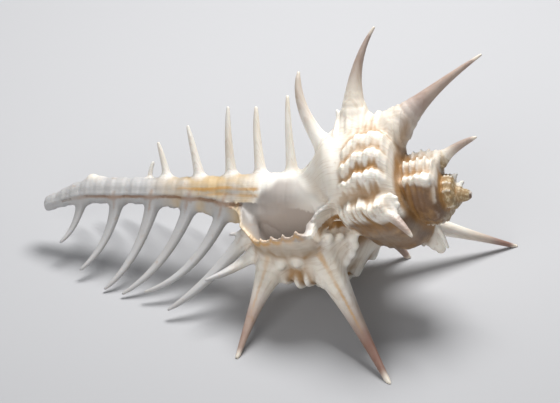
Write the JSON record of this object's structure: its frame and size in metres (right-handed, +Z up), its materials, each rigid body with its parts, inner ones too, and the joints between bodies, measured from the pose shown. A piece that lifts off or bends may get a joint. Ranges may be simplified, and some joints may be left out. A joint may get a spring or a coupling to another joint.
{
  "type": "murex shell",
  "caption": "Spiny murex sea shell with a long open canal and rows of curved spines, standing on its spine tips with the aperture to the front.",
  "frame": {"origin": "on the floor, under the middle of the standing shell's box", "axes": "+X to the apex end (the canal points to -X), -Y to the aperture side, +Z up"},
  "size_m": [0.1342, 0.0868, 0.0733],
  "materials": {
    "shell": "natural ivory shell, orange-brown stained in its grooves, purple-brown towards the large spine tips, porcelain-smooth at the aperture"
  },
  "bodies": {
    "root": {"shell": "shell"}
  },
  "joints": []
}
